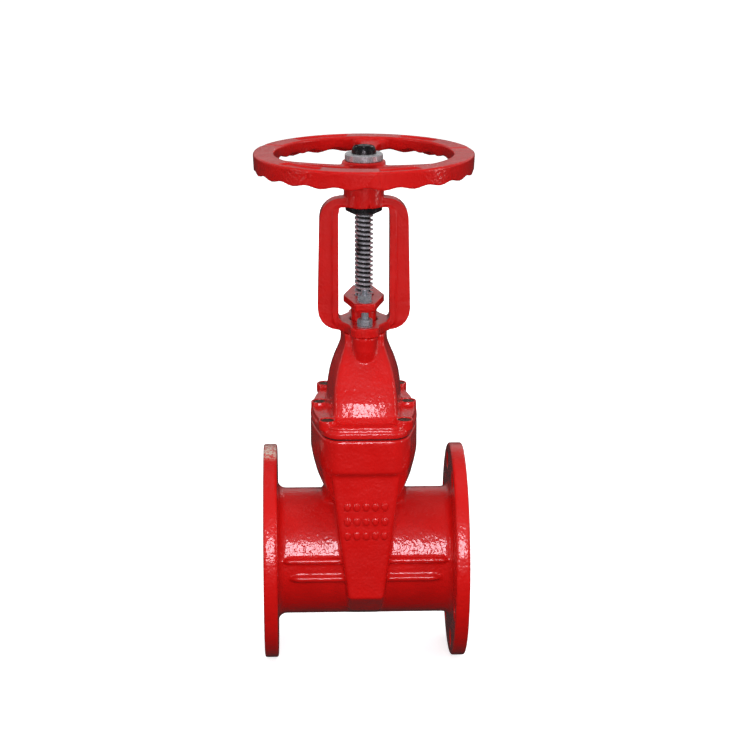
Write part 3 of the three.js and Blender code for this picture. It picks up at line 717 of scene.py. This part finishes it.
hood_hollow = grown(
    square,
    [(170, 36, 88), (188, 36, 80), (216, 36, 66), (234, 32, 52), (253, 28, 34), (268, 26, 28)],
)
guide_room = block(10.7, 90, 150, 202)  # lets the guide shoes rise to the full lift
screw_seat, screw_way, stud_hole = boss_top - 13.5, 5.5, 5.3
screw_ways = [rod(screw_way, 170, 220, x, y, 24) for x, y in screw_places]
counterbores = [rod(counterbore, screw_seat, 240, x, y, 32) for x, y in screw_places]
stud_holes = [rod(stud_hole, 281, 320, 0, side * stud_line, 24) for side in (-1, 1)]
bonnet = cast(
    "bonnet_casting",
    [lip, plate, hood, *bosses, *stud_bosses],
    [
        hood_hollow,
        guide_room,
        rod(box_radius, box_floor, 340),
        rod(stem_radius + stem_gap, 250, 300),
        *screw_ways,
        *counterbores,
        *stud_holes,
    ],
    grain=1.5,
    softening=4,
    kept=0.7,
)
finished(bonnet, "valve", "body_paint", red_paint, "bonnet")

# ---------------------------------------------------------------------------------------
# Bonnet screws and their wax. Six zinc-plated socket screws sunk in the bosses; brown wax is
# poured over each head, so only the rough round top of the wax shows.
# ---------------------------------------------------------------------------------------
zinc = material("zinc_plate", (0.55, 0.58, 0.62), 0.28, metallic=0.7)
shaded(zinc, "Roughness", noise(zinc, 6), [(0.35, 0.22), (0.7, 0.38)])
dull_zinc, clean_zinc = (0.40, 0.43, 0.48), (0.62, 0.64, 0.67)
shaded(zinc, "Base Color", noise(zinc, 5), [(0.35, dull_zinc), (0.65, clean_zinc)])
uneven(zinc, [(noise(zinc, 3), 0.03)])
brown_wax = material("brown_wax", (0.045, 0.02, 0.012), 0.5)
dark_wax, pale_wax = (0.02, 0.01, 0.007), (0.10, 0.045, 0.025)
shaded(brown_wax, "Base Color", noise(brown_wax, 2), [(0.3, dark_wax), (0.7, pale_wax)])
uneven(brown_wax, [(noise(brown_wax, 4), 0.8), (noise(brown_wax, 1), 0.2)])
for number, (x, y) in enumerate(screw_places):
    node = min(
        (f"wax_plug_{i}" for i in range(1, 7)),
        key=lambda name: (sum(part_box(name), Vector()).xy / 2 - Vector((x, y)) * MM).length,
    )
    low, high = heights(node)
    plug_radius = counterbore - 0.3
    plug = turned(
        [
            (0, low),
            (plug_radius, low),
            (plug_radius, high - 0.3),
            (6, high),
            (3, high - 0.5),
            (0, high - 0.7),
        ],
        32,
    )
    wax = as_object(f"wax_{number + 1}", set_at(plug, x, y), pipe_axis)
    wax.data.shade_smooth()
    finished(wax, "valve", "sealing_wax", brown_wax, node)

# ---------------------------------------------------------------------------------------
# Gland. A red follower that two studs press down on the packing: a thick lozenge-shaped
# plate over a narrower bar, with a round nose that reaches into the stuffing box.
# ---------------------------------------------------------------------------------------
gland_low, gland_top = heights("gland_flange")
gland_plate_low, gland_bar_low = gland_top - 9, gland_top - 12
gland_plate = grown(
    both_sides([(12.5, -54, 3), (27, 0, 3), (12.5, 54, 3)]),
    [(gland_plate_low, 1, 1), (gland_top, 1, 1)],
)
gland_bar = grown(
    both_sides([(11, -51, 6), (16.5, -36, 8), (16.5, 36, 8), (11, 51, 6)]),
    [(gland_bar_low, 1, 1), (gland_plate_low + 1, 1, 1)],
)
gland_nose = rod(box_radius - 0.5, gland_low, gland_bar_low + 1)


def stud_ways(low, high):
    """A clearance hole for each stud between two heights."""
    return [rod(5.6, low, high, 0, side * stud_line, 24) for side in (-1, 1)]


gland = cast(
    "gland_follower",
    [gland_plate, gland_bar, gland_nose],
    [rod(stem_radius + stem_gap, 250, 380), *stud_ways(330, 380)],
    grain=0.8,
    softening=3,
)
finished(gland, "valve", "body_paint", red_paint, "gland_flange")

# ---------------------------------------------------------------------------------------
# Yoke. A red casting that stands on the bonnet's two studs and holds the handwheel above it:
# two flat arms with a raised band round the window between them, a foot with a lobe round
# each stud, and a round boss at the top that the stem nut turns in.
# ---------------------------------------------------------------------------------------
yoke_foot_low, yoke_foot_top = heights("yoke")[0], 320.5
arm_half_depth, band_half_depth = 12, 14.5
window_half, window_low, window_top, band_wide = 33, 320.5, 467, 8


def upended(corners, half_depth):
    """A solid from an outline in X and Z, as deep as twice half_depth in Y."""
    return set_at(grown(corners, [(-half_depth, 1, 1), (half_depth, 1, 1)]), turn=90, about="X")


arms = upended(
    both_sides([(60, yoke_foot_low, 27), (60, 345, 5), (57, 479.5, 24), (20, 482.5, 1)]),
    arm_half_depth,
)
band_x, band_corner, window_corner = window_half + band_wide, 10, 6
band = upended(
    both_sides(
        [
            (band_x, window_low - band_wide, band_corner),
            (band_x, window_top + 5, band_corner),
        ]
    ),
    band_half_depth,
)
window = upended(
    both_sides(
        [(window_half, window_low, window_corner), (window_half, window_top, window_corner)]
    ),
    40,
)
foot = grown(
    both_sides(
        [
            (11, -59, 9),
            (18.5, -50, 7),
            (18.5, -36, 12),
            (35, -arm_half_depth - 1, 7),
            (35, arm_half_depth + 1, 7),
            (18.5, 36, 12),
            (18.5, 50, 7),
            (11, 59, 9),
        ]
    ),
    [(yoke_foot_low, 1, 1), (yoke_foot_top, 1, 1)],
)
yoke_boss_radius, yoke_boss_low, yoke_boss_top, yoke_bore = 26, 470, 500, 18
yoke_boss = rod(yoke_boss_radius, yoke_boss_low, yoke_boss_top, steps=64)
cross_bar = block(30, arm_half_depth, window_top + 2, 481.5)
yoke = cast(
    "yoke_casting",
    [arms, band, foot, yoke_boss, cross_bar],
    [
        window,
        block(100, 60, 280, yoke_foot_low),  # all below the foot
        block(32, 30, 430, yoke_boss_low),  # all below the boss, between the arms
        rod(yoke_bore, 440, 520),  # the stem nut's journal
        rod(22.5, 440, yoke_boss_low + 1.5),  # a seat for its flange
        rod(box_radius + 0.8, 300, 340),  # the gland's nose through the foot
        block(1.1, 4, 467, 475, 6, -yoke_boss_radius),  # a slot in the boss's lower edge
        *stud_ways(300, 340),
    ],
    grain=1.2,
    softening=4,
    kept=0.6,
)
finished(yoke, "valve", "body_paint", red_paint, "yoke")

# ---------------------------------------------------------------------------------------
# Studs, washers and nuts. Zinc-plated M10: one long stud each side clamps the yoke's foot
# with its lower nut and draws the gland down with its upper one.
# ---------------------------------------------------------------------------------------


def threaded(core, crest, lead, low, high, hand=1, steps=32, crest_share=0.36, flank_share=0.14):
    """A threaded bar: the profile of one pitch is spun once round the axis, the turn is repeated
    up the bar, and the skin is cut square and closed at both heights."""
    root_share = (1 - crest_share - 2 * flank_share) / 2
    shares = [0, root_share, root_share + flank_share]
    shares += [1 - share for share in reversed(shares)]
    radii = [core, core, crest, crest, core, core]
    shape = bmesh.new()
    start = low - lead
    points = [
        shape.verts.new((radius * MM, 0, (start + share * lead) * MM))
        for radius, share in zip(radii, shares)
    ]
    edges = [shape.edges.new(pair) for pair in zip(points, points[1:])]
    turns = math.ceil((high - start) / lead) + 1
    bmesh.ops.spin(
        shape,
        geom=points + edges,
        axis=(0, 0, 1),
        dvec=(0, 0, lead * MM / steps),
        angle=hand * math.tau,
        steps=steps,
    )
    one_turn = shape.verts[:] + shape.edges[:] + shape.faces[:]
    for number in range(1, turns):
        copied = bmesh.ops.duplicate(shape, geom=one_turn)["geom"]
        copied = [part for part in copied if isinstance(part, bmesh.types.BMVert)]
        bmesh.ops.translate(shape, vec=(0, 0, number * lead * MM), verts=copied)
    bmesh.ops.remove_doubles(shape, verts=shape.verts, dist=0.01 * MM)
    for height, way in ((low, -1), (high, 1)):
        bmesh.ops.bisect_plane(
            shape,
            geom=shape.verts[:] + shape.edges[:] + shape.faces[:],
            plane_co=(0, 0, height * MM),
            plane_no=(0, 0, way),
            clear_outer=True,
        )
        rim = [
            edge
            for edge in shape.edges
            if edge.is_boundary and abs(edge.verts[0].co.z - height * MM) < 0.01 * MM
        ]
        bmesh.ops.contextual_create(shape, geom=rim)
    bmesh.ops.recalc_face_normals(shape, faces=shape.faces)
    return shape


def machined(name, shape, lift=0.0):
    """An object with crisp machined edges from a shape."""
    return crisp(as_object(name, shape, lift), 35)


stud_core, stud_crest, stud_lead = 4.2, 5, 1.5
half_flats = 17 / 2
half_corners = half_flats / math.cos(math.radians(30))
hexagon = round_outline(6, half_corners)
nut_turns = {"yoke": 0, "gland": 20}  # each nut stopped where it was tight
stud_bar = threaded(
    stud_core,
    stud_crest,
    stud_lead,
    *heights("stud_front"),
    crest_share=0.2,
    flank_share=0.3,
)
for end, side in (("front", -1), ("rear", 1)):
    stud = machined(f"gland_stud_{end}", set_at(stud_bar.copy(), y=side * stud_line), pipe_axis)
    finished(stud, "valve", "zinc_plate", zinc, f"stud_{end}")
    for role, turn in nut_turns.items():
        low, high = heights(f"{role}_washer_{end}")
        ring = turned(
            [
                (5.3, low),
                (9.8, low),
                (10, low + 0.3),
                (10, high - 0.5),
                (9.5, high),
                (5.5, high),
                (5.3, high - 0.2),
                (5.3, low),
            ],
            48,
        )
        washer = machined(f"washer_{role}_{end}", set_at(ring, y=side * stud_line), pipe_axis)
        finished(washer, "valve", "zinc_plate", zinc, f"{role}_washer_{end}")
        low, high = heights(f"{role}_nut_{end}")
        nut = as_object(
            f"nut_{role}_{end}",
            set_at(grown(hexagon, [(low, 1, 1), (high, 1, 1)]), y=side * stud_line, turn=turn),
            pipe_axis,
        )
        chamfer = turned(
            [
                (0, low),
                (half_flats, low),
                (half_corners, low + 0.7),
                (half_corners, high - 0.9),
                (half_flats - 0.6, high),
                (0, high),
            ],
            64,
        )
        hole = turned(
            [
                (0, low - 1),
                (6, low - 1),
                (5.1, low + 0.6),
                (5.1, high - 0.6),
                (6, high + 1),
                (0, high + 1),
            ],
            32,
        )
        tools = cut_out(nut, "INTERSECT", [set_at(chamfer, y=side * stud_line)], pipe_axis)
        tools += cut_out(nut, "DIFFERENCE", [set_at(hole, y=side * stud_line)], pipe_axis)
        worked(nut, tools)
        crisp(nut, 25)
        finished(nut, "valve", "zinc_plate", zinc, f"{role}_nut_{end}")
stud_bar.free()

# ---------------------------------------------------------------------------------------
# Stem. A bright stainless bar with a left-hand trapezoidal thread of 6 mm lead on its upper
# half, smeared with dark grease and with painted shade in its thread roots; it rises with the
# wedge and never turns.
# ---------------------------------------------------------------------------------------
stem_low, stem_top = heights("stem")
thread_low, thread_core, stem_lead = 305, 8.9, 6
collar_low, collar_radius = 110.3, 16
thread = threaded(
    thread_core, stem_radius, stem_lead, thread_low - 1, stem_top - 2, hand=-1, steps=40
)
tip = turned(
    [
        (0, stem_top - 6),
        (thread_core, stem_top - 6),
        (thread_core, stem_top - 2),
        (8, stem_top),
        (2.6, stem_top),
        (2.2, stem_top - 5),
        (0, stem_top - 5.6),
    ],
    48,
)
foot_radius, foot_top = 10, 100
shank = turned(
    [
        (0, stem_low),
        (foot_radius, stem_low),
        (foot_radius, foot_top),
        (stem_radius, foot_top),
        (stem_radius, collar_low),
        (collar_radius, collar_low),
        (collar_radius, collar_low + 2.4),
        (stem_radius, collar_low + 4.4),
        (stem_radius, thread_low),
        (thread_core, thread_low + 3),
        (0, thread_low + 3),
    ],
    64,
)
stem = as_object("stem_bar", shank, pipe_axis)
tools = cut_out(stem, "UNION", [thread, tip], pipe_axis)
worked(stem, tools)
crisp(stem, 40)
stainless = material("stainless_grease_and_root_shade", (0.6, 0.6, 0.63), 0.28, metallic=0.7)
# Painted shade: the steel turns dark towards the thread roots, for the shade in them together with
# grease; noise adds dark smears of grease on the crests.
from_axis = add(stainless, "TexCoord", {}).outputs["Object"]
from_axis = add(stainless, "VectorMath", {0: from_axis, 1: (1, 1, 0)}, operation="MULTIPLY")
from_axis = add(stainless, "VectorMath", {0: from_axis.outputs[0]}, operation="LENGTH")
shaded_root_radius, bare_crest_radius = 9.1 * MM, 11.0 * MM
bare_share = add(
    stainless,
    "MapRange",
    {"Value": from_axis.outputs["Value"], "From Min": shaded_root_radius, "From Max": bare_crest_radius},
).outputs["Result"]
smear = add(
    stainless,
    "MapRange",
    {"Value": noise(stainless, 14, 3, (1, 1, 0.4)), "From Min": 0.6, "From Max": 0.75},
).outputs["Result"]
bare_share = add(stainless, "Math", {0: bare_share, 1: smear}, operation="SUBTRACT", use_clamp=True)
# Painted shade and grease: this dark colour fills the thread roots and the smears.
grease_and_root_shade, bare_steel = (0.035, 0.033, 0.035), (0.74, 0.74, 0.79)
shaded(stainless, "Base Color", bare_share.outputs[0], [(0.0, grease_and_root_shade), (1.0, bare_steel)])
shaded(stainless, "Roughness", noise(stainless, 7), [(0.35, 0.2), (0.7, 0.34)])
finished(stem, "stem_group", "stainless", stainless, "stem")

# ---------------------------------------------------------------------------------------
# Stem nut. Black steel, turned: its flange bears on the boss from below, its journal runs in
# the yoke, and its end stands out above the handwheel, where grease gathers round the stem.
# ---------------------------------------------------------------------------------------
nut_low, nut_top = heights("stem_nut")
nut_seat, nut_bore = 15.7, 12.4
nut_flange_radius, nut_flange_top, nut_journal, journal_top = 23.8, 469.7, 17.7, 500
nut_shape = turned(
    [
        (nut_bore, nut_low),
        (13.5, nut_low),
        (nut_flange_radius - 0.6, 464.4),
        (nut_flange_radius, 465),
        (nut_flange_radius, 469.3),
        (nut_flange_radius - 0.4, nut_flange_top),
        (nut_journal, nut_flange_top),
        (nut_journal, journal_top),
        (nut_seat, journal_top),
        (nut_seat, 541.5),
        (15.2, 543.5),
        (14.4, 545.6),
        (13.4, 547),
        (12.9, nut_top),
        (nut_bore, nut_top - 0.4),
        (nut_bore, nut_low),
    ],
    96,
)
stem_nut = machined("turned_stem_nut", nut_shape, pipe_axis)
black_steel = material("black_greased_steel", (0.012, 0.012, 0.013), 0.3, metallic=0.3)
shaded(black_steel, "Roughness", noise(black_steel, 3), [(0.35, 0.15), (0.7, 0.45)])
uneven(black_steel, [(noise(black_steel, 4), 0.35), (noise(black_steel, 1.2), 0.08)])
finished(stem_nut, "handwheel_group", "black_steel", black_steel, "stem_nut")

# ---------------------------------------------------------------------------------------
# Handwheel. A red casting: a rim of inverted U section whose outer wall waves along its lower
# edge, sunk panels in its top, three spokes that spread into the rim, and a hub.
# ---------------------------------------------------------------------------------------
wheel_top, wheel_radius = heights("handwheel")[1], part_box("handwheel")[1].y / MM
rim_wide, rim_tall, rim_tall_inside, rim_web_deep = 27, 22, 16, 7
rim_wall, rim_lobes, lobe_depth = 5.5, 22, 1.6
rim_inner, rim_web = wheel_radius - rim_wide, wheel_top - rim_web_deep
rim_low, rim_low_inside = wheel_top - rim_tall, wheel_top - rim_tall_inside
rim = turned(
    [
        (wheel_radius - 1.5, wheel_top),
        (wheel_radius, wheel_top - 1.5),
        (wheel_radius - 1, rim_low),
        (wheel_radius - rim_wall, rim_low),
        (wheel_radius - rim_wall - 1, rim_web),
        (rim_inner + rim_wall + 1, rim_web),
        (rim_inner + rim_wall, rim_low_inside),
        (rim_inner + 1, rim_low_inside),
        (rim_inner, wheel_top - 1.5),
        (rim_inner + 1.5, wheel_top),
        (wheel_radius - 1.5, wheel_top),
    ],
    264,
)
for vert in rim.verts:
    if vert.co.z < (rim_low_inside + 0.1) * MM:
        around = math.atan2(vert.co.y, vert.co.x)
        vert.co.z -= lobe_depth * MM * math.cos(rim_lobes * around)


def rim_panel(inner, outer, deep, start, stop):
    """The room over one stretch of the rim's top, between two radii and two angles."""
    shape = bmesh.new()
    corners = [(inner, 0), (outer, 0), (outer, deep + 5), (inner, deep + 5)]
    points = [shape.verts.new((r * MM, 0, (wheel_top - deep + z) * MM)) for r, z in corners]
    face = shape.faces.new(points)
    bmesh.ops.rotate(shape, matrix=Matrix.Rotation(math.radians(start), 3, "Z"), verts=points)
    bmesh.ops.spin(
        shape,
        geom=[face, *face.edges, *points],
        axis=(0, 0, 1),
        angle=math.radians(stop - start),
        steps=max(2, round((stop - start) / 2)),
    )
    bmesh.ops.recalc_face_normals(shape, faces=shape.faces)
    return shape


panel_inner, panel_outer, panel_deep = 121, 134.5, 2.4
dip_inner, dip_outer, dip_deep = 112, 146, 0.9
panel_arcs = [(98, 131), (42, 66), (217, 243), (277, 300)]
dip_arcs = [(154, 160), (5, 14)]
first_spoke, spoke_count = 83.5, 3
# Along a spoke: distance from the stem, half width, half thickness and height of its middle.
spoke_stations = [
    (18, 14, 9, 515),
    (34, 11.5, 8.5, 516.5),
    (60, 9.5, 7.25, 521.2),
    (92, 10, 7, 526),
    (104, 13.5, 7.2, 527.6),
    (111, 20, 7.5, 528.4),
    (116, 27, 7.8, 528.8),
    (121, 33, 7.8, 528.8),
]
spoke_outline = [(-1, -0.8, 0.3), (1, -0.8, 0.3), (1, 1, 0.35), (-1, 1, 0.35)]
spokes = []
for number in range(spoke_count):
    spoke = set_at(grown(spoke_outline, spoke_stations), turn=90, about="X")
    bmesh.ops.rotate(spoke, matrix=Matrix.Rotation(math.radians(90), 3, "Z"), verts=spoke.verts)
    spokes.append(set_at(spoke, turn=first_spoke + 360 / spoke_count * number))
hub_low, hub_top, hub_radius, hub_edge = 502.1, 529, 28, 1.5
hub = turned(
    [
        (0, hub_low),
        (hub_radius - 2, hub_low),
        (hub_radius, hub_low + 2),
        (hub_radius, hub_top - hub_edge),
        (hub_radius - hub_edge, hub_top),
        (0, hub_top),
    ],
    96,
)
wheel_bore = nut_seat + 0.3
handwheel = cast(
    "handwheel_casting",
    [rim, hub, *spokes],
    [
        rod(wheel_bore, 490, 560),
        *(rim_panel(panel_inner, panel_outer, panel_deep, *arc) for arc in panel_arcs),
        *(rim_panel(dip_inner, dip_outer, dip_deep, *arc) for arc in dip_arcs),
    ],
    grain=1.25,
    softening=3,
    kept=0.5,
)
wheel_paint = red_epoxy("red_epoxy_paint_wheel", gloss=0.9, lumps=0.6, sand=0.6)
finished(handwheel, "handwheel_group", "body_paint", wheel_paint, "handwheel")

# ---------------------------------------------------------------------------------------
# Wheel locknut. A bright turned steel ring with chamfered edges, screwed on the stem nut's
# upper end to hold the handwheel down.
# ---------------------------------------------------------------------------------------
lock_low, lock_high = heights("wheel_locknut")
lock_radius, lock_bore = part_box("wheel_locknut")[1].y / MM, wheel_bore
locknut = machined(
    "turned_locknut",
    turned(
        [
            (lock_bore, lock_low),
            (lock_radius - 0.8, lock_low),
            (lock_radius, lock_low + 0.8),
            (lock_radius, lock_high - 1.6),
            (lock_radius - 1.6, lock_high),
            (nut_seat + 1.3, lock_high),
            (lock_bore, lock_high - 1),
            (lock_bore, lock_low),
        ],
        128,
    ),
    pipe_axis,
)
turned_steel = material("turned_steel", (0.66, 0.66, 0.68), 0.26, metallic=0.6)
shaded(turned_steel, "Roughness", noise(turned_steel, 6), [(0.35, 0.2), (0.7, 0.36)])
uneven(turned_steel, [(noise(turned_steel, 4, 2, (0.05, 0.05, 4)), 0.03)])
finished(locknut, "handwheel_group", "bright_steel", turned_steel, "wheel_locknut")

# ---------------------------------------------------------------------------------------
# Inner pieces that keep their own shape and take a finish: screws, bush, packing, wedge,
# guide shoes, thrust washers and key.
# ---------------------------------------------------------------------------------------
bronze = material("bronze", (0.55, 0.32, 0.13), 0.3, metallic=1.0)
shaded(bronze, "Roughness", noise(bronze, 4), [(0.35, 0.22), (0.7, 0.45)])
graphite = material("graphite_packing", (0.03, 0.03, 0.033), 0.55)
uneven(graphite, [(noise(graphite, 1.5, 2, (1, 1, 3)), 0.3)])
shaded(graphite, "Roughness", noise(graphite, 2), [(0.35, 0.4), (0.7, 0.7)])
iron = material("primed_iron", (0.12, 0.12, 0.125), 0.55, metallic=0.4)
shaded(iron, "Roughness", noise(iron, 4), [(0.35, 0.45), (0.7, 0.7)])
uneven(iron, [(noise(iron, 3), 0.2)])
nylon = material("white_nylon", (0.75, 0.72, 0.64), 0.45)
shaded(nylon, "Roughness", noise(nylon, 6), [(0.35, 0.4), (0.7, 0.55)])
inner_pieces = {
    "backseat_bush": bronze,
    "wedge_nut": bronze,
    "thrust_washer_lower": bronze,
    "thrust_washer_upper": bronze,
    "wedge_core": iron,
    "wedge_rubber": black_rubber,
    "guide_shoe_front": nylon,
    "guide_shoe_rear": nylon,
    "wheel_key": turned_steel,
    **{f"packing_ring_{i}": graphite for i in (1, 2, 3)},
    **{f"bonnet_screw_{i}": zinc for i in range(1, 7)},
}
for name, finish in inner_pieces.items():
    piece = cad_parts[name]
    piece.data.materials.clear()
    piece.data.materials.append(finish)

# ---------------------------------------------------------------------------------------
# Front lights. The bright box in front lights and is mirrored in every piece but the three
# with broad flat tops, which would mirror it whole from behind. The fill lights those alone.
# ---------------------------------------------------------------------------------------
for light, state in ((front_fill, "INCLUDE"), (front_box, "EXCLUDE")):
    flat_topped = bpy.data.collections.new(f"{light.name}_pieces")
    for piece in (handwheel, yoke, gland):
        flat_topped.objects.link(piece)
    for linked in flat_topped.collection_objects:
        linked.light_linking.link_state = state
    light.light_linking.receiver_collection = flat_topped
